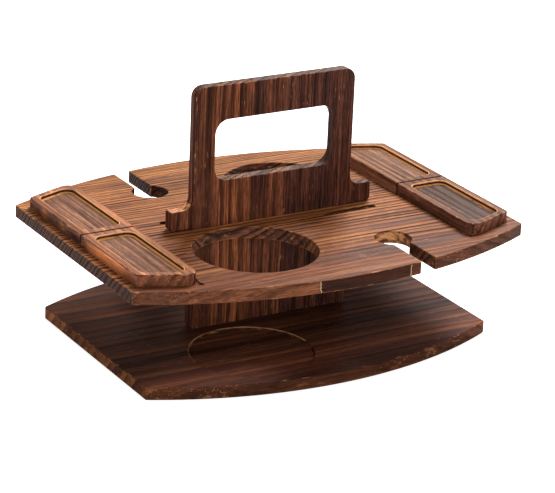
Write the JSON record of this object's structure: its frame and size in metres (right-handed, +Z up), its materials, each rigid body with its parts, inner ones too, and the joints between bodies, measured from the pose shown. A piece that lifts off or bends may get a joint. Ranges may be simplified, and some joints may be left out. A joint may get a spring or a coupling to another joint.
{
  "type": "razor stand",
  "caption": "Wooden razor and grooming stand with tiered bowed boards, a carrying handle, round holes, keyhole notches and lift-out trays.",
  "frame": {"origin": "centre of the underside of the base board, on the surface that the stand rests on", "axes": "+X along the boards, +Y across them away from the front, +Z up"},
  "size_m": [0.338, 0.274, 0.204],
  "materials": {
    "top_board": "brushed, stained dark reddish brown with near-black grain, thin satin oil",
    "base_board": "brushed, stained darker brown, thin satin oil",
    "handle_plate": "brushed, stained dark brown with upright grain, thin satin oil",
    "tray": "brushed, stained brown with worn golden edges, thin satin oil",
    "screw": "bright zinc plate"
  },
  "bodies": {
    "stand": {"top_board": "top_board", "base_board": "base_board", "handle_plate": "handle_plate", "ear_screw_left": "screw", "ear_screw_right": "screw", "base_screw_left": "screw", "base_screw_middle": "screw", "base_screw_right": "screw"},
    "tray_left_front": {"tray_left_front": "tray"},
    "tray_left_rear": {"tray_left_rear": "tray"},
    "tray_right_front": {"tray_right_front": "tray"},
    "tray_right_rear": {"tray_right_rear": "tray"}
  },
  "joints": [
    {"name": "tray_left_front_lift", "type": "slide", "parent": "stand", "child": "tray_left_front", "axis": [0, 0, 1], "range_m": [0, 0.12]},
    {"name": "tray_left_rear_lift", "type": "slide", "parent": "stand", "child": "tray_left_rear", "axis": [0, 0, 1], "range_m": [0, 0.12]},
    {"name": "tray_right_front_lift", "type": "slide", "parent": "stand", "child": "tray_right_front", "axis": [0, 0, 1], "range_m": [0, 0.12]},
    {"name": "tray_right_rear_lift", "type": "slide", "parent": "stand", "child": "tray_right_rear", "axis": [0, 0, 1], "range_m": [0, 0.12]}
  ]
}
